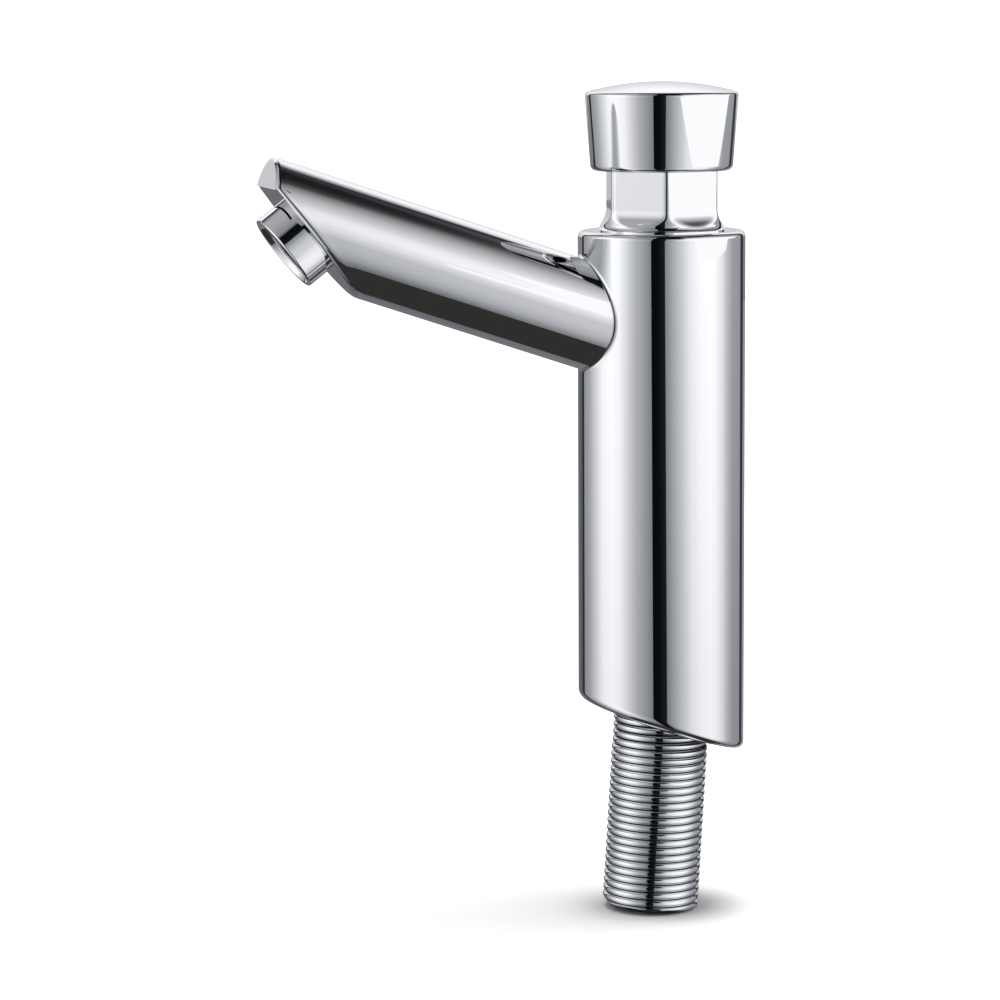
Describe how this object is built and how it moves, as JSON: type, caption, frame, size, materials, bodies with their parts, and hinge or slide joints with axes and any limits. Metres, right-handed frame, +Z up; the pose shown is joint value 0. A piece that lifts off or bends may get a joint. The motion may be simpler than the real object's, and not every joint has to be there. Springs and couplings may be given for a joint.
{
  "type": "push timed tap",
  "caption": "Deck-mounted self-closing basin tap: round body on an oblique foot, rising tube spout with a slanted end and aerator, push button on top, threaded shank below.",
  "frame": {"origin": "where the body's own axis meets the oblique foot face, which rests on the basin or deck", "axes": "+Z up the body's own axis, along which the push button travels; -X the way the spout points; the tap is symmetric about the XZ plane, apart from the flats of its neck, which stop where the neck's thread does"},
  "size_m": [0.1062, 0.036, 0.18],
  "materials": {
    "chrome": "polished chrome plate",
    "brass": "turned",
    "steel": "turned stainless",
    "rubber": "moulded",
    "nylon": "moulded"
  },
  "bodies": {
    "tap": {"tap_body": "chrome", "spout": "chrome", "shank": "chrome", "base_seal": "rubber", "inlet_strainer": "steel", "aerator_collar": "chrome", "aerator_insert": "nylon", "aerator_screen": "steel", "aerator_washer": "rubber", "bonnet": "chrome", "bonnet_ring_seal": "rubber", "rod_guide_bush": "nylon", "rod_seal": "rubber", "seal_retainer": "steel", "cartridge_sleeve": "brass", "cartridge_ring_seal": "rubber", "valve_seat": "steel", "spring_washer": "steel", "return_spring": "steel"},
    "plunger": {"button_cap": "chrome", "rod_lock_nut": "brass", "push_rod": "steel", "piston": "nylon", "lip_seal": "rubber", "piston_washer": "steel", "valve_carrier": "brass", "valve_washer": "rubber", "valve_nut": "brass"}
  },
  "joints": [
    {"name": "button_push", "type": "slide", "parent": "tap", "child": "plunger", "axis": [0, 0, -1], "range_m": [0, 0.008], "stiffness_N_per_m": 1800, "springref_m": -0.01, "deforming": ["return_spring"]}
  ]
}
